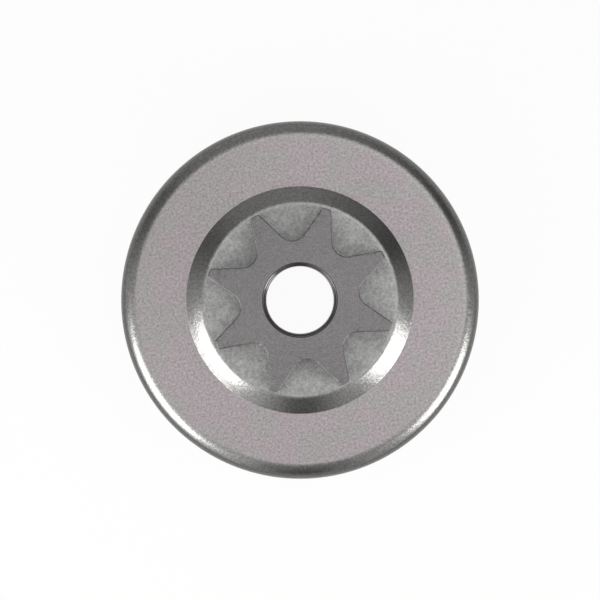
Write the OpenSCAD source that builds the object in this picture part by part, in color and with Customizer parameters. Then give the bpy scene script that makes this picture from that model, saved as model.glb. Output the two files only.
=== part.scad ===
// Clutch drum of a chainsaw: a pressed steel cup with a star sprocket brazed into it.
// Millimetres. The origin is on the axis, in the plane of the open rim, and +Z points to the sprocket.
// A gullet of the sprocket is centred on the X axis.

/* [Drum] */
// Outside diameter of the drum wall
drum_d = 75.5; // [74:0.5:85]
// Inside diameter of the drum, where the clutch shoes rub
shoe_bore_d = 70; // [62:0.5:71]
// Height from the open rim to the flat face
drum_h = 21; // [17:0.5:30]
// Thickness of the pressed sheet at the face and the boss
sheet_t = 2.75; // [2:0.05:3.5]
// Outside radius between the wall and the flat face
corner_r = 3.4; // [2:0.1:4.5]
// Inside radius between the wall and the floor
floor_r = 1.5; // [0.5:0.1:3]
// Chamfer on the two edges of the open rim
rim_chamfer = 0.5; // [0.2:0.1:0.7]

/* [Boss] */
// How far the boss's top reaches past the tooth tips, before its shoulder is rounded
boss_margin = 0.85; // [0.6:0.05:1.5]
// Width of the boss's sloping side, seen from above
boss_side_w = 3.4; // [3:0.1:4.5]
// Middle slope of the boss's side, in degrees from the flat face
boss_slope = 34; // [28:1:40]
// How many degrees flatter the side starts, and how many steeper it ends
boss_crown = 4; // [1:0.5:5]
// Radius of the boss's shoulder, inside and out
shoulder_r = 1.8; // [1:0.1:2.2]
// Radius of the edge of the pocket behind the boss
pocket_edge_r = 1; // [0.5:0.1:1.5]

/* [Drive notch] */
// Width of the notch in the open rim, where the oil pump's drive hooks in
notch_w = 5; // [3:0.5:8]
// Depth of the notch from the open rim
notch_depth = 4.5; // [4:0.5:8]

/* [Sprocket] */
// Number of teeth
teeth = 8; // [7:1:9]
// Diameter across the tooth tips
tip_d = 39.3; // [37:0.1:41]
// Diameter across the bottoms of the gullets
root_d = 24.8; // [24:0.1:26.5]
// Radius at the bottom of a gullet
gullet_r = 3.1; // [2.5:0.1:3.5]
// Width of a tooth tip, before its corners are rounded
tip_w = 1.9; // [1.6:0.1:3]
// Radius of the two corners of a tooth tip
tip_corner_r = 0.5; // [0.2:0.05:0.6]
// Length of the teeth along the axis
tooth_len = 10; // [8:0.5:16]

/* [Hub] */
// Diameter of the bore, which runs on a needle cage
bore_d = 14; // [12:0.1:15]
// Chamfer at the bore's mouth in the sprocket's face
bore_chamfer = 0.8; // [0.4:0.1:1]
// Diameter of the spigot that passes through the drum
spigot_d = 20; // [18:0.2:22]
// How far the spigot stands out of the pocket, inside the drum
spigot_proud = 1.5; // [1:0.1:2]
// Chamfer on both edges of the spigot's end
spigot_chamfer = 0.5; // [0.2:0.1:0.7]
// Gap round the spigot, which the braze fills
braze_gap = 0.05; // [0.02:0.01:0.1]

/* [Hidden] */

cup_colour = "#a59da2";
sprocket_colour = "#8c8a88";

// Sides of a full circle, how far a rounded corner's chords may lie off its arc, and how far a cut runs on
round_fn = 180;
chord_error = 0.01;
cut_past = 1;

drum_r = drum_d / 2;
shoe_bore_r = shoe_bore_d / 2;
floor_z = drum_h - sheet_t;

tip_r = tip_d / 2;
root_r = root_d / 2;
pitch_angle = 360 / teeth;

boss_top_r = tip_r + boss_margin;
boss_mid_r = boss_top_r + boss_side_w / 2;
boss_foot_r = boss_top_r + boss_side_w;
upper_slope = boss_slope - boss_crown;
lower_slope = boss_slope + boss_crown;
boss_mid_z = drum_h + (boss_foot_r - boss_mid_r) * tan(lower_slope);
seat_z = boss_mid_z + (boss_mid_r - boss_top_r) * tan(upper_slope);

// The crown is an arc that reaches over the middle two thirds of the side
crown_r = boss_side_w / 3 / tan(boss_crown);

// The pocket is the boss's outline moved in and down by the thickness of the sheet
pocket_shift = [-sheet_t * tan(boss_slope / 2), -sheet_t];
pocket_z = seat_z - sheet_t;

bore_r = bore_d / 2;
spigot_r = spigot_d / 2;
spigot_z = pocket_z - spigot_proud;
face_z = seat_z + tooth_len;

function unit(v) = v / norm(v);
function polar(r, a) = [r * cos(a), r * sin(a)];

// A flank is the straight line from a corner of the tip that touches the arc at the gullet's bottom
tip_corner = polar(tip_r, pitch_angle / 2) - polar(tip_w / 2, pitch_angle / 2 + 90);
from_arc = tip_corner - [root_r + gullet_r, 0];
flank_angle = atan2(from_arc.y, from_arc.x) - asin(gullet_r / norm(from_arc));

// Distance from the axis to the sharp corner where the flanks of a gullet would meet
gullet_corner_r = root_r + gullet_r - gullet_r / sin(flank_angle);

// Points of the arc that rounds a corner [x, y, radius] between its two neighbours
function corner_arc(before, corner, after) =
    let (
        c = [corner.x, corner.y],
        to_before = unit([before.x, before.y] - c),
        to_after = unit([after.x, after.y] - c),
        half = acos(to_before * to_after) / 2,
        centre = c + unit(to_before + to_after) * corner.z / sin(half),
        start = c + to_before * corner.z / tan(half) - centre,
        sweep = (180 - 2 * half) * (cross(to_before, to_after) < 0 ? 1 : -1),
        steps = ceil(abs(sweep) / (2 * acos(1 - chord_error / corner.z)))
    )
    [for (k = [0:steps]) centre + polar(corner.z, atan2(start.y, start.x) + sweep * k / steps)];

// Points of an outline that is given by its corners [x, y, radius], where a radius of 0 is sharp
function outline(corners) =
    let (n = len(corners))
    [for (i = [0:n - 1])
        each corners[i].z == 0
            ? [[corners[i].x, corners[i].y]]
            : corner_arc(corners[(i + n - 1) % n], corners[i], corners[(i + 1) % n])];

// The boss's side from its top to its foot, a little crowned
function boss_side(shift, foot_radius) = [
    [boss_top_r + shift.x, seat_z + shift.y, shoulder_r],
    [boss_mid_r + shift.x, boss_mid_z + shift.y, crown_r],
    [boss_foot_r + shift.x, drum_h + shift.y, foot_radius],
];

// Half section of the cup, from the spigot's hole out over the boss and the wall, and back inside
module cup_section() {
    hole_r = spigot_r + braze_gap;
    pocket_side = boss_side(pocket_shift, pocket_edge_r);
    polygon(outline(concat(
        [[hole_r, seat_z, 0]],
        boss_side([0, 0], 0),
        [
            [drum_r, drum_h, corner_r],
            [drum_r, rim_chamfer, 0],
            [drum_r - rim_chamfer, 0, 0],
            [shoe_bore_r + rim_chamfer, 0, 0],
            [shoe_bore_r, rim_chamfer, 0],
            [shoe_bore_r, floor_z, floor_r],
        ],
        [for (i = [2:-1:0]) pocket_side[i]],
        [[hole_r, pocket_z, 0]]
    )));
}

// Cuts a notch with a round end into the wall, on the -Y side
module notch_cutter() {
    end_r = notch_w / 2;
    rotate([90, 0, 0])
        linear_extrude(drum_r + cut_past) {
            translate([-end_r, -cut_past])
                square([notch_w, notch_depth - end_r + cut_past]);
            translate([0, notch_depth - end_r])
                circle(end_r, $fn = round_fn);
        }
}

module drum_cup() {
    color(cup_colour)
        difference() {
            rotate_extrude($fn = round_fn)
                cup_section();
            notch_cutter();
        }
}

// A corner of the star's outline, at a distance and a bearing from the axis
function star_corner(r, a, radius) = [r * cos(a), r * sin(a), radius];

// A gullet is one rounded corner, and each tooth has two at its tip
module star_outline() {
    tip_reach = norm(tip_corner);
    tip_bearing = atan2(tip_corner.y, tip_corner.x);
    polygon(outline([
        for (i = [0:teeth - 1])
            let (gullet_a = i * pitch_angle)
            each [
                star_corner(gullet_corner_r, gullet_a, gullet_r),
                star_corner(tip_reach, gullet_a + tip_bearing, tip_corner_r),
                star_corner(tip_reach, gullet_a + pitch_angle - tip_bearing, tip_corner_r),
            ]
    ]));
}

// The spigot runs a little way up inside the star
module spigot() {
    rotate_extrude($fn = round_fn)
        polygon([
            [0, spigot_z],
            [spigot_r - spigot_chamfer, spigot_z],
            [spigot_r, spigot_z + spigot_chamfer],
            [spigot_r, seat_z + cut_past],
            [0, seat_z + cut_past],
        ]);
}

module bore_cutter() {
    rotate_extrude($fn = round_fn)
        polygon([
            [0, spigot_z - cut_past],
            [bore_r + spigot_chamfer + cut_past, spigot_z - cut_past],
            [bore_r, spigot_z + spigot_chamfer],
            [bore_r, face_z - bore_chamfer],
            [bore_r + bore_chamfer + cut_past, face_z + cut_past],
            [0, face_z + cut_past],
        ]);
}

module star_sprocket() {
    color(sprocket_colour)
        difference() {
            union() {
                translate([0, 0, seat_z])
                    linear_extrude(tooth_len)
                        star_outline();
                spigot();
            }
            bore_cutter();
        }
}

drum_cup();
star_sprocket();
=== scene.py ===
# Clutch drum of a chainsaw: a pressed steel cup with a star sprocket brazed into it.
# Sizes in the dictionaries are millimetres, and the scene is in metres.
import math

import bmesh
import bpy
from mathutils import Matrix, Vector, noise


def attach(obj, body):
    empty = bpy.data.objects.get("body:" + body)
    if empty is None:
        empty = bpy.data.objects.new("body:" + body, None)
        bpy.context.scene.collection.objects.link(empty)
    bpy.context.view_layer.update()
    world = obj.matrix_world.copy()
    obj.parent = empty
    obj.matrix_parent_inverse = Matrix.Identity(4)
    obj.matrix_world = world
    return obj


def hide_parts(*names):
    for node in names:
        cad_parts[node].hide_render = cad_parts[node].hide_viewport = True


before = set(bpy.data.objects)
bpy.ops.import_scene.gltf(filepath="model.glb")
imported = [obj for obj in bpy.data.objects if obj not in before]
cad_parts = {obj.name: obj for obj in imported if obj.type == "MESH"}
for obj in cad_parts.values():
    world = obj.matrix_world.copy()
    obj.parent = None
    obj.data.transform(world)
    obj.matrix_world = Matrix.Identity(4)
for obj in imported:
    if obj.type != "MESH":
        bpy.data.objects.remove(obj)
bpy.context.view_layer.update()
scene = bpy.context.scene
mm = 0.001
print("frame loaded")


# Camera

camera = {
    "height": 700,
    "lens": 194,  # on a 36 mm sensor
    "turn": -6.1,  # degrees about the drum's axis
}


def makeCamera():
    lens = bpy.data.cameras.new("camera")
    lens.lens = camera["lens"]
    lens.sensor_width = 36
    holder = bpy.data.objects.new("camera", lens)
    holder.location.z = camera["height"] * mm
    holder.rotation_euler.z = math.radians(camera["turn"])
    scene.collection.objects.link(holder)
    scene.camera = holder


makeCamera()
print("camera placed")


# Mesh helpers

def roundedWire(mesh, corners, closed, arcStep=5):
    # a wire through the corners, each a point and the radius that rounds it
    last = first = None
    count = len(corners)
    for i, (corner, radius) in enumerate(corners):
        start = corner
        if radius:
            toBefore = (corners[i - 1][0] - corner).normalized()
            toAfter = (corners[(i + 1) % count][0] - corner).normalized()
            half = toBefore.angle(toAfter) / 2
            start = corner + toBefore * radius / math.tan(half)
            end = corner + toAfter * radius / math.tan(half)
            centre = corner + (toBefore + toAfter).normalized() * radius / math.sin(half)
        if last is None:
            last = first = bmesh.ops.create_vert(mesh, co=start)["vert"][0]
        else:
            last = bmesh.ops.extrude_vert_indiv(mesh, verts=[last])["verts"][0]
            last.co = start
        if radius:
            sweep = math.pi - 2 * half
            spun = bmesh.ops.spin(
                mesh, geom=[last], cent=centre, axis=(start - centre).cross(end - centre).normalized(),
                angle=sweep, steps=max(3, round(math.degrees(sweep) / arcStep)))
            last = [v for v in spun["geom_last"] if isinstance(v, bmesh.types.BMVert)][0]
    if closed:
        mesh.edges.new((last, first))


def spinRound(mesh, steps):
    # everything in the mesh is one half section, turned once round the axis
    bmesh.ops.spin(
        mesh, geom=mesh.verts[:] + mesh.edges[:], cent=(0, 0, 0), axis=(0, 0, 1),
        angle=math.tau, steps=steps, use_merge=True)


def finishPiece(mesh, name, node, materials, sharpAngle=25):
    # merged, faces outwards, shaded smooth with flats kept flat
    bmesh.ops.remove_doubles(mesh, verts=mesh.verts, dist=0.002 * mm)
    bmesh.ops.recalc_face_normals(mesh, faces=mesh.faces)
    for face in mesh.faces:
        face.smooth = True
    data = bpy.data.meshes.new(name)
    mesh.to_mesh(data)
    mesh.free()
    data.set_sharp_from_angle(angle=math.radians(sharpAngle))
    for material in materials:
        data.materials.append(material)
    piece = bpy.data.objects.new(name, data)
    scene.collection.objects.link(piece)
    flats = piece.modifiers.new("flats", "WEIGHTED_NORMAL")
    flats.keep_sharp = True
    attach(piece, "root")
    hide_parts(node)
    return piece


# Material helpers

def addNode(tree, kind, sockets=None, **settings):
    made = tree.nodes.new("ShaderNode" + kind)
    for name, value in settings.items():
        setattr(made, name, value)
    for name, value in (sockets or {}).items():
        if isinstance(value, bpy.types.NodeSocket):
            tree.links.new(value, made.inputs[name])
        else:
            made.inputs[name].default_value = value
    return made


def calc(tree, operation, a, b=0.0):
    return addNode(tree, "Math", {0: a, 1: b}, operation=operation).outputs[0]


def fade(tree, value, start, end, low=0.0, high=1.0):
    # a soft step from low to high while the value goes from start to end
    return addNode(
        tree, "MapRange",
        {"Value": value, "From Min": start, "From Max": end, "To Min": low, "To Max": high},
        interpolation_type="SMOOTHSTEP").outputs[0]


def blendColours(tree, factor, a, b, mode="MIX"):
    mixed = addNode(tree, "Mix", {0: factor}, data_type="RGBA", blend_type=mode)
    for index, value in ((6, a), (7, b)):
        if isinstance(value, bpy.types.NodeSocket):
            tree.links.new(value, mixed.inputs[index])
        else:
            mixed.inputs[index].default_value = (*value, 1)
    return mixed.outputs[2]


def blendValues(tree, factor, a, b):
    return addNode(tree, "Mix", {0: factor, 2: a, 3: b}, data_type="FLOAT").outputs[0]


def grain(tree, coords, size, detail=2.0, roughness=0.5):
    # noise whose features are about size millimetres across
    return addNode(
        tree, "TexNoise",
        {"Vector": coords, "Scale": 1 / (size * mm), "Detail": detail, "Roughness": roughness}).outputs[0]


def newMetal(name):
    # a bare metal, with the object's coordinates, distance from its axis and height ready to use
    material = bpy.data.materials.new(name)
    material.use_nodes = True
    tree = material.node_tree
    shader = tree.nodes["Principled BSDF"]
    shader.inputs["Metallic"].default_value = 1
    coords = addNode(tree, "TexCoord").outputs["Object"]
    flat = addNode(tree, "VectorMath", {0: coords, 1: (1, 1, 0)}, operation="MULTIPLY").outputs[0]
    radius = addNode(tree, "VectorMath", {0: flat}, operation="LENGTH").outputs["Value"]
    height = addNode(tree, "SeparateXYZ", {0: coords}).outputs[2]
    return material, tree, shader, coords, flat, radius, height


def addBump(tree, shader, height, depth):
    # depth in millimetres
    bump = addNode(tree, "Bump", {"Height": height, "Distance": depth * mm, "Strength": 1.0})
    tree.links.new(bump.outputs[0], shader.inputs["Normal"])


# Drum cup

drum = {
    "radius": 37.75,
    "shoeRadius": 35,
    "height": 21,
    "sheet": 2.75,
    "cornerRadius": 3.4,
    "floorRadius": 1.5,
    "rimChamfer": 0.5,
    "edgeRadius": 0.12,
    "bossTop": (20.5, 23.3097),
    "bossMid": (22.2, 22.328),
    "bossFoot": (23.9, 21),
    "shoulderRadius": 1.8,
    "crownRadius": 16.2,
    "pocketShift": (-0.841, -2.75),
    "pocketEdge": 1,
    "holeRadius": 10.05,
    "steps": 288,
    "notchWidth": 5,
    "notchDepth": 4.5,
    "notchEdge": 0.2,
}

drumFinishAndPaintedShade = {
    "pink": (0.435, 0.385, 0.402),
    "grey": (0.410, 0.390, 0.388),
    "smooth": (0.40, 0.395, 0.385),
    # painted shade: the outer wall is darkened to stand in for the dark reflection along the rim's outer edge
    "wall": (0.145, 0.143, 0.138),
    "bossTop": (0.37, 0.375, 0.368),
    "faceRoughness": 0.43,
    "bossTopRoughness": 0.47,
    "smoothRoughness": 0.25,
    "wallRoughness": 0.3,
}


def drumOutsideMetal():
    material, tree, shader, coords, _, radius, height = newMetal("drumOutside")
    look = drumFinishAndPaintedShade
    onBoss = fade(tree, radius, 24.0 * mm, 23.8 * mm)
    onBossTop = fade(tree, radius, 20.9 * mm, 19.6 * mm)
    onRim = fade(tree, radius, 33.9 * mm, 35.2 * mm)
    onWall = fade(tree, height, 20.3 * mm, 19.8 * mm)
    smoothArea = calc(tree, "MAXIMUM", onBoss, onRim)

    mottle = fade(tree, grain(tree, coords, 9, 3), 0.42, 0.58)
    speckle = grain(tree, coords, 0.5, 2, 0.7)
    clouds = grain(tree, coords, 2.4, 4, 0.6)
    colour = blendColours(tree, mottle, look["pink"], look["grey"])
    colour = blendColours(tree, smoothArea, colour, look["smooth"])
    brighter = [v * 1.25 for v in look["bossTop"]]
    topColour = blendColours(tree, fade(tree, clouds, 0.35, 0.65), look["bossTop"], brighter)
    colour = blendColours(tree, onBossTop, colour, topColour)
    # painted shade: below the rim's rounding the outer wall takes the darkened colour, standing in for its dark
    # reflection
    colour = blendColours(tree, onWall, colour, look["wall"])
    tone = addNode(
        tree, "MapRange",
        {"Value": speckle, "From Min": 0.3, "From Max": 0.7, "To Min": 0.74, "To Max": 1.26}).outputs[0]
    grey = addNode(tree, "CombineColor", {0: tone, 1: tone, 2: tone}).outputs[0]
    colour = blendColours(tree, 1.0, colour, grey, "MULTIPLY")
    tree.links.new(colour, shader.inputs["Base Color"])

    rough = blendValues(tree, smoothArea, look["faceRoughness"], look["smoothRoughness"])
    rough = blendValues(tree, onBossTop, rough, look["bossTopRoughness"])
    rough = blendValues(tree, onWall, rough, look["wallRoughness"])
    rough = calc(tree, "ADD", rough, calc(tree, "MULTIPLY", calc(tree, "SUBTRACT", clouds, 0.5), 0.12))
    tree.links.new(rough, shader.inputs["Roughness"])

    relief = calc(tree, "MULTIPLY", speckle, blendValues(tree, smoothArea, 1.0, 0.6))
    addBump(tree, shader, relief, 0.05)
    return material


def drumInsideMetal():
    material, tree, shader, coords, _, radius, _ = newMetal("drumInside")
    clouds = grain(tree, coords, 3, 4, 0.6)
    speckle = grain(tree, coords, 0.45, 2, 0.6)
    onShoeWall = fade(tree, radius, 34.7 * mm, 34.95 * mm)
    colour = blendColours(tree, clouds, (0.30, 0.29, 0.285), (0.42, 0.405, 0.40))
    colour = blendColours(tree, onShoeWall, colour, (0.46, 0.455, 0.45))
    tree.links.new(colour, shader.inputs["Base Color"])
    rough = blendValues(tree, onShoeWall, 0.42, 0.27)
    tree.links.new(rough, shader.inputs["Roughness"])
    turned = addNode(
        tree, "TexWave", {"Vector": coords, "Scale": 1100, "Distortion": 0.6, "Detail": 2.0},
        bands_direction="Z").outputs[1]
    relief = blendValues(tree, onShoeWall, speckle, turned)
    addBump(tree, shader, relief, 0.02)
    return material


def bossSide(shift, footRadius):
    rows = (
        (drum["bossTop"], drum["shoulderRadius"]),
        (drum["bossMid"], drum["crownRadius"]),
        (drum["bossFoot"], footRadius),
    )
    return [(point[0] + shift[0], point[1] + shift[1], radius) for point, radius in rows]


def drumSection():
    # half section from the spigot's hole out over the boss and the wall, and back inside
    outer, inner, chamfer, edge = drum["radius"], drum["shoeRadius"], drum["rimChamfer"], drum["edgeRadius"]
    shift = drum["pocketShift"]
    hole, seat = drum["holeRadius"], drum["bossTop"][1]
    floor = drum["height"] - drum["sheet"]
    rows = [(hole, seat, 0)]
    rows += bossSide((0, 0), 0.1)
    rows += [
        (outer, drum["height"], drum["cornerRadius"]),
        (outer, chamfer, edge),
        (outer - chamfer, 0, edge),
        (inner + chamfer, 0, edge),
        (inner, chamfer, edge),
        (inner, floor, drum["floorRadius"]),
    ]
    rows += reversed(bossSide(shift, drum["pocketEdge"]))
    rows += [(hole, seat + shift[1], edge)]
    return [(Vector((x, 0, z)) * mm, radius * mm) for x, z, radius in rows]


def notchCutter():
    # a block that runs out through the wall on the -Y side, with a round upper end
    mesh = bmesh.new()
    width, depth, past = drum["notchWidth"], drum["notchDepth"], 1
    bmesh.ops.create_cube(mesh, size=1)
    bmesh.ops.scale(mesh, verts=mesh.verts, vec=Vector((width, 6, depth + past)) * mm)
    bmesh.ops.translate(mesh, verts=mesh.verts, vec=Vector((0, -drum["radius"] + 1, (depth - past) / 2)) * mm)
    upper = [
        e for e in mesh.edges
        if all(v.co.z > 0 for v in e.verts) and abs((e.verts[0].co - e.verts[1].co).y) > mm]
    bmesh.ops.bevel(
        mesh, geom=upper, offset=width / 2 * 0.999 * mm, offset_type="OFFSET", segments=12,
        profile=0.5, affect="EDGES", material=-1)
    data = bpy.data.meshes.new("notchCutter")
    mesh.to_mesh(data)
    mesh.free()
    cutter = bpy.data.objects.new("notchCutter", data)
    scene.collection.objects.link(cutter)
    return cutter


def cutNotch(mesh):
    # the Boolean is baked, so the edges of the notch can be broken afterwards
    data = bpy.data.meshes.new("drumBlank")
    mesh.to_mesh(data)
    mesh.free()
    blank = bpy.data.objects.new("drumBlank", data)
    scene.collection.objects.link(blank)
    cutter = notchCutter()
    cut = blank.modifiers.new("notch", "BOOLEAN")
    cut.operation = "DIFFERENCE"
    cut.solver = "EXACT"
    cut.object = cutter
    bpy.context.view_layer.update()
    result = bmesh.new()
    result.from_mesh(blank.evaluated_get(bpy.context.evaluated_depsgraph_get()).data)
    for used in (blank, cutter):
        bpy.data.objects.remove(used)
    reach = drum["notchWidth"] / 2 + 0.05
    edges = [
        e for e in result.edges
        if len(e.link_faces) == 2 and e.calc_face_angle(0) > math.radians(60)
        and all(abs(v.co.x) < reach * mm and v.co.y < 0 and v.co.z < (drum["notchDepth"] + 0.05) * mm for v in e.verts)]
    bmesh.ops.bevel(
        result, geom=edges, offset=drum["notchEdge"] * mm, offset_type="OFFSET", segments=2,
        profile=0.5, affect="EDGES", material=-1, clamp_overlap=True)
    return result


def makeDrum():
    mesh = bmesh.new()
    roundedWire(mesh, drumSection(), closed=True)
    spinRound(mesh, drum["steps"])
    bmesh.ops.recalc_face_normals(mesh, faces=mesh.faces)
    mesh = cutNotch(mesh)
    bmesh.ops.remove_doubles(mesh, verts=mesh.verts, dist=0.002 * mm)
    bmesh.ops.recalc_face_normals(mesh, faces=mesh.faces)
    for face in mesh.faces:
        centre = face.calc_center_median()
        inward = math.hypot(centre.x, centre.y) < (drum["radius"] - 1) * mm and centre.z < 20.9 * mm
        face.material_index = 1 if inward and face.normal.z < 0.05 or centre.z < 0.01 * mm else 0
    return finishPiece(mesh, "pressedCup", "drum_cup", [drumOutsideMetal(), drumInsideMetal()])


makeDrum()
print("drum cup made")


# Star sprocket

star = {
    "teeth": 8,
    "tipRadius": 19.65,
    "tipWidth": 1.9,
    "tipCorner": 0.5,
    "rootRadius": 12.4,
    "gulletRadius": 3.1,
    "seat": 23.3097,
    "face": 33.3097,
    "edgeBreak": 0.28,
    "edgeRows": 4,
    "burr": 0.16,
    "burrSize": 0.4,
    "flankStep": 0.18,
    "boreRadius": 7,
    "boreChamfer": 0.8,
    "spigotRadius": 10,
    "spigotEnd": 19.0597,
    "spigotChamfer": 0.5,
    "steps": 192,
}

starFinishAndPaintedShade = {
    "ground": (0.232, 0.222, 0.224),
    # partly the sides' own darker tone, partly painted shade: darkened so their reflection shades the gullet floors
    # beside them
    "side": (0.14, 0.137, 0.133),
    "bore": (0.27, 0.265, 0.26),
}


def starGroundMetal():
    material, tree, shader, coords, flat, _, _ = newMetal("starGround")
    speckle = grain(tree, coords, 0.4, 2, 0.6)
    clouds = grain(tree, coords, 3.5, 3)
    rings = addNode(
        tree, "TexWave", {"Vector": flat, "Scale": 640, "Distortion": 1.2, "Detail": 2.0, "Detail Scale": 0.6},
        wave_type="RINGS", rings_direction="Z").outputs[1]
    tone = calc(tree, "ADD", calc(tree, "MULTIPLY", speckle, 0.9), calc(tree, "MULTIPLY", rings, 0.10))
    tone = calc(tree, "ADD", tone, calc(tree, "MULTIPLY", clouds, 0.12))
    tone = calc(tree, "ADD", tone, 0.44)
    grey = addNode(tree, "CombineColor", {0: tone, 1: tone, 2: tone}).outputs[0]
    tree.links.new(blendColours(tree, 1.0, grey, starFinishAndPaintedShade["ground"], "MULTIPLY"), shader.inputs["Base Color"])
    tree.links.new(fade(tree, clouds, 0.3, 0.7, 0.38, 0.46), shader.inputs["Roughness"])
    relief = calc(tree, "ADD", speckle, calc(tree, "MULTIPLY", rings, 0.5))
    addBump(tree, shader, relief, 0.04)
    return material


def starSideMetal():
    material, tree, shader, coords, _, _, _ = newMetal("starSide")
    speckle = grain(tree, coords, 0.5, 3, 0.6)
    clouds = grain(tree, coords, 2.5, 3)
    # the sides' colour is partly their own tone and partly painted shade, darkened so the gullet floors reflect them
    # dark
    colour = blendColours(tree, clouds, starFinishAndPaintedShade["side"], [v * 1.35 for v in starFinishAndPaintedShade["side"]])
    tree.links.new(colour, shader.inputs["Base Color"])
    tree.links.new(fade(tree, clouds, 0.3, 0.7, 0.3, 0.4), shader.inputs["Roughness"])
    addBump(tree, shader, speckle, 0.02)
    return material


def boreMetal():
    material, tree, shader, coords, _, _, _ = newMetal("bore")
    scratches = addNode(
        tree, "TexWave", {"Vector": coords, "Scale": 900, "Distortion": 1.0, "Detail": 2.0},
        bands_direction="Z").outputs[1]
    clouds = grain(tree, coords, 2.5, 3)
    colour = blendColours(tree, clouds, starFinishAndPaintedShade["bore"], [v * 1.2 for v in starFinishAndPaintedShade["bore"]])
    tree.links.new(colour, shader.inputs["Base Color"])
    tree.links.new(fade(tree, clouds, 0.3, 0.7, 0.14, 0.2), shader.inputs["Roughness"])
    addBump(tree, shader, scratches, 0.01)
    return material


def starCorners():
    # a gullet is one rounded corner, and each tooth has two at its tip
    pitch = math.tau / star["teeth"]
    tip = Vector((math.cos(pitch / 2), math.sin(pitch / 2)))
    across = Vector((-tip.y, tip.x))
    corner = tip * star["tipRadius"] - across * star["tipWidth"] / 2
    fromArc = corner - Vector((star["rootRadius"] + star["gulletRadius"], 0))
    flank = math.atan2(fromArc.y, fromArc.x) - math.asin(star["gulletRadius"] / fromArc.length)
    gulletReach = star["rootRadius"] + star["gulletRadius"] - star["gulletRadius"] / math.sin(flank)
    bearing = math.atan2(corner.y, corner.x)
    corners = []
    for i in range(star["teeth"]):
        middle = i * pitch
        for reach, angle, radius in (
                (gulletReach, middle, star["gulletRadius"]),
                (corner.length, middle + bearing, star["tipCorner"]),
                (corner.length, middle + pitch - bearing, star["tipCorner"])):
            point = Vector((reach * math.cos(angle), reach * math.sin(angle), star["seat"]))
            corners.append((point * mm, radius * mm))
    return corners


def hubSection():
    # from the star's underside round the spigot's end and up the bore to the chamfer's edge
    chamfer = star["spigotChamfer"]
    rows = [
        (star["spigotRadius"], star["seat"], 0),
        (star["spigotRadius"], star["spigotEnd"] + chamfer, 0.1),
        (star["spigotRadius"] - chamfer, star["spigotEnd"], 0.1),
        (star["boreRadius"] + chamfer, star["spigotEnd"], 0.1),
        (star["boreRadius"], star["spigotEnd"] + chamfer, 0.1),
        (star["boreRadius"], star["face"] - star["boreChamfer"], 0.1),
        (star["boreRadius"] + star["boreChamfer"], star["face"], 0),
    ]
    return [(Vector((x, 0, z)) * mm, radius * mm) for x, z, radius in rows]


def makeStar():
    mesh = bmesh.new()
    roundedWire(mesh, starCorners(), closed=True, arcStep=4)
    for edge in mesh.edges[:]:
        cuts = int(edge.calc_length() / (star["flankStep"] * mm))
        if cuts:
            bmesh.ops.subdivide_edges(mesh, edges=[edge], cuts=cuts)
    bottom = bmesh.ops.contextual_create(mesh, geom=mesh.edges[:])["faces"][0]
    raised = bmesh.ops.extrude_face_region(mesh, geom=[bottom], use_keep_orig=True)["geom"]
    top = [g for g in raised if isinstance(g, bmesh.types.BMFace)][0]
    lift = (star["face"] - star["seat"] - star["edgeBreak"]) * mm
    bmesh.ops.translate(mesh, verts=top.verts, vec=(0, 0, lift))
    top.normal_update()

    # the top edge is broken round, then roughened like a deburred edge
    rows, size = star["edgeRows"], star["edgeBreak"] * mm
    for k in range(rows):
        a, b = (math.pi / 2 * step / rows for step in (k, k + 1))
        bmesh.ops.inset_region(
            mesh, faces=[top], thickness=size * (math.cos(a) - math.cos(b)), depth=0,
            use_boundary=True, use_even_offset=True)
        bmesh.ops.translate(mesh, verts=top.verts, vec=(0, 0, size * (math.sin(b) - math.sin(a))))
    bmesh.ops.delete(mesh, geom=[top, bottom], context="FACES_ONLY")
    halfway = (star["seat"] + star["face"]) / 2 * mm
    topEdges = [e for e in mesh.edges if e.is_boundary and e.verts[0].co.z > halfway]
    bottomEdges = [e for e in mesh.edges if e.is_boundary and e.verts[0].co.z < halfway]
    inTop = {v for e in topEdges for v in e.verts}
    for vert in mesh.verts:
        if vert.co.z > (star["face"] - star["edgeBreak"] * 1.05) * mm and vert not in inTop:
            bite = noise.noise(vert.co / (star["burrSize"] * mm)) * star["burr"] * mm
            out = Vector((vert.co.x, vert.co.y, 0)).normalized()
            vert.co -= out * abs(bite)
            vert.co.z -= bite * 0.5

    # spigot and bore
    before = set(mesh.verts) | set(mesh.edges)
    roundedWire(mesh, hubSection(), closed=False)
    wire = [g for g in mesh.verts[:] + mesh.edges[:] if g not in before]
    bmesh.ops.spin(
        mesh, geom=wire, cent=(0, 0, 0), axis=(0, 0, 1), angle=math.tau, steps=star["steps"], use_merge=True)

    def ring(radius, z):
        nearby = 0.01 * mm
        return [
            e for e in mesh.edges
            if all(
                abs(math.hypot(v.co.x, v.co.y) - radius * mm) < nearby and abs(v.co.z - z * mm) < nearby
                for v in e.verts)]

    bmesh.ops.triangle_fill(
        mesh, edges=topEdges + ring(star["boreRadius"] + star["boreChamfer"], star["face"]),
        use_beauty=True, normal=(0, 0, 1))
    bmesh.ops.triangle_fill(
        mesh, edges=bottomEdges + ring(star["spigotRadius"], star["seat"]), use_beauty=True, normal=(0, 0, -1))
    for face in mesh.faces:
        centre = face.calc_center_median()
        reach = math.hypot(centre.x, centre.y)
        inBore = reach < (star["boreRadius"] + star["boreChamfer"]) * mm
        if inBore and centre.z > (star["spigotEnd"] + star["spigotChamfer"]) * mm:
            face.material_index = 2
        elif centre.z < (star["face"] - star["edgeBreak"]) * mm:
            face.material_index = 1
    return finishPiece(
        mesh, "starSprocket", "star_sprocket",
        [starGroundMetal(), starSideMetal(), boreMetal()], sharpAngle=32)


makeStar()
print("star sprocket made")


# Studio: a pale floor, a soft tent round the object and two soft boxes

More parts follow.
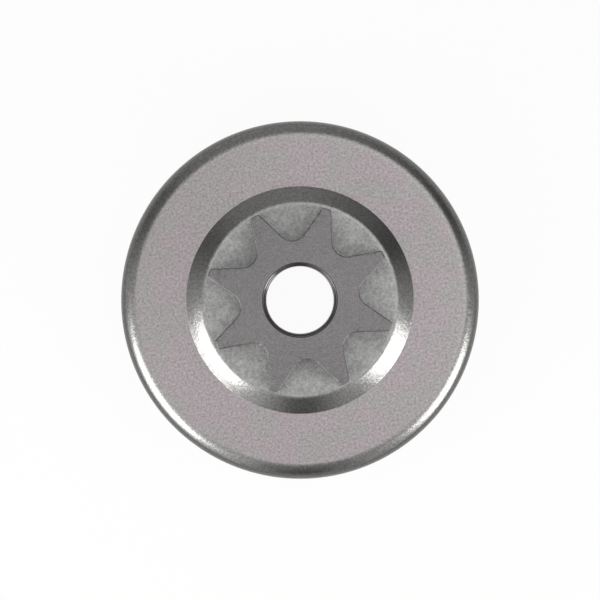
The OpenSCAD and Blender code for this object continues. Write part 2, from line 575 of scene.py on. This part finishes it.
studio = {
    "floorSize": 3000,
    "tentRadius": 260,
    "overhead": 1.25,
    "overheadTilt": (45, 12),  # which way the overhead light leans, and by how much
    "overheadFade": (32, 8),  # degrees from its middle where it has faded, and where it starts to
    # brightness of the tent's lower half by bearing, in degrees from +X
    "tent": (
        (0, 0.35), (30, 0.085), (60, 0.2), (90, 0.33), (120, 0.3), (150, 0.135), (180, 0.43),
        (200, 0.8), (225, 0.9), (245, 0.6), (270, 0.08), (300, 0.47), (330, 0.8), (345, 0.6), (360, 0.35)),
    # bearing, polar angle, width, height, brightness
    "boxes": ((214, 59, 37, 40, 3.2), (329, 62, 28, 42, 3.0)),
    "boxDistance": 235,
}


def shownStraight(tree):
    # 1 for the rays that should find plain white: the camera's, and those seen in metal or glass
    rays = addNode(tree, "LightPath").outputs
    seen = calc(tree, "MAXIMUM", rays["Is Camera Ray"], rays["Is Glossy Ray"])
    return calc(tree, "MAXIMUM", seen, rays["Is Transmission Ray"])


def makeWorld():
    world = bpy.data.worlds.new("studio")
    world.use_nodes = True
    tree = world.node_tree
    background = tree.nodes["Background"]
    background.inputs["Color"].default_value = (1, 1, 1, 1)
    tree.links.new(shownStraight(tree), background.inputs["Strength"])
    scene.world = world


def makeFloor():
    mesh = bmesh.new()
    bmesh.ops.create_grid(mesh, x_segments=1, y_segments=1, size=studio["floorSize"] / 2 * mm)
    data = bpy.data.meshes.new("floor")
    mesh.to_mesh(data)
    mesh.free()
    floor = bpy.data.objects.new("floor", data)
    scene.collection.objects.link(floor)
    material = bpy.data.materials.new("floorWhite")
    material.use_nodes = True
    tree = material.node_tree
    tree.nodes.remove(tree.nodes["Principled BSDF"])
    paint = addNode(tree, "BsdfDiffuse", {"Color": (0.85, 0.85, 0.85, 1)}).outputs[0]
    glow = addNode(tree, "Emission", {"Color": (1, 1, 1, 1), "Strength": 1.0}).outputs[0]
    share = calc(tree, "MULTIPLY", shownStraight(tree), 0.95)
    mixed = addNode(tree, "MixShader", {0: share, 1: paint, 2: glow}).outputs[0]
    tree.links.new(mixed, tree.nodes["Material Output"].inputs["Surface"])
    data.materials.append(material)


def makeTent():
    mesh = bmesh.new()
    bmesh.ops.create_uvsphere(mesh, u_segments=64, v_segments=32, radius=studio["tentRadius"] * mm)
    bmesh.ops.bisect_plane(
        mesh, geom=mesh.verts[:] + mesh.edges[:] + mesh.faces[:], plane_co=(0, 0, 0.2 * mm), plane_no=(0, 0, 1),
        clear_inner=True)
    data = bpy.data.meshes.new("tent")
    mesh.to_mesh(data)
    mesh.free()
    tent = bpy.data.objects.new("tent", data)
    scene.collection.objects.link(tent)
    tent.visible_camera = False
    tent.visible_shadow = False
    material = bpy.data.materials.new("tentCloth")
    material.use_nodes = True
    tree = material.node_tree
    tree.nodes.remove(tree.nodes["Principled BSDF"])
    coords = addNode(tree, "TexCoord").outputs["Object"]
    x, y, z = addNode(tree, "SeparateXYZ", {0: coords}).outputs
    turn = calc(tree, "ADD", calc(tree, "ARCTAN2", y, x), math.radians(-camera["turn"]))
    share = calc(tree, "FRACT", calc(tree, "DIVIDE", turn, math.tau))
    ramp = addNode(tree, "ValToRGB", {0: share})
    stops = ramp.color_ramp.elements
    ramp.color_ramp.interpolation = "EASE"
    for i, (bearing, bright) in enumerate(studio["tent"]):
        stop = stops[i] if i < 1 else stops.new(bearing / 360) if bearing < 360 else stops[len(stops) - 1]
        stop.position = bearing / 360
        stop.color = (bright, bright, bright, 1)
    bearing, lean = (math.radians(v) for v in studio["overheadTilt"])
    bearing += math.radians(camera["turn"])
    axis = (math.cos(bearing) * math.sin(lean), math.sin(bearing) * math.sin(lean), math.cos(lean))
    along = addNode(tree, "VectorMath", {0: coords, 1: axis}, operation="DOT_PRODUCT").outputs["Value"]
    faded, full = (math.cos(math.radians(v)) * studio["tentRadius"] * mm for v in studio["overheadFade"])
    strength = blendValues(tree, fade(tree, along, faded, full), ramp.outputs[0], studio["overhead"])
    glow = addNode(tree, "Emission", {"Strength": strength}).outputs[0]
    tree.links.new(glow, tree.nodes["Material Output"].inputs["Surface"])
    data.materials.append(material)


def makeBoxes():
    for i, (bearing, polar, width, height, bright) in enumerate(studio["boxes"]):
        lamp = bpy.data.lights.new(f"softBox{i + 1}", "AREA")
        lamp.shape = "RECTANGLE"
        reach = studio["boxDistance"] * mm
        lamp.size = 2 * reach * math.tan(math.radians(width / 2))
        lamp.size_y = 2 * reach * math.tan(math.radians(height / 2))
        lamp.energy = bright * math.pi * lamp.size * lamp.size_y
        holder = bpy.data.objects.new(lamp.name, lamp)
        a, p = math.radians(bearing + camera["turn"]), math.radians(polar)
        aim = Vector((math.cos(a) * math.sin(p), math.sin(a) * math.sin(p), math.cos(p)))
        holder.location = aim * reach + Vector((0, 0, 20 * mm))
        holder.rotation_euler = aim.to_track_quat("Z", "Y").to_euler()
        holder.visible_camera = False
        scene.collection.objects.link(holder)


makeWorld()
makeFloor()
makeTent()
makeBoxes()
scene.view_settings.view_transform = "Standard"
print("studio lit")
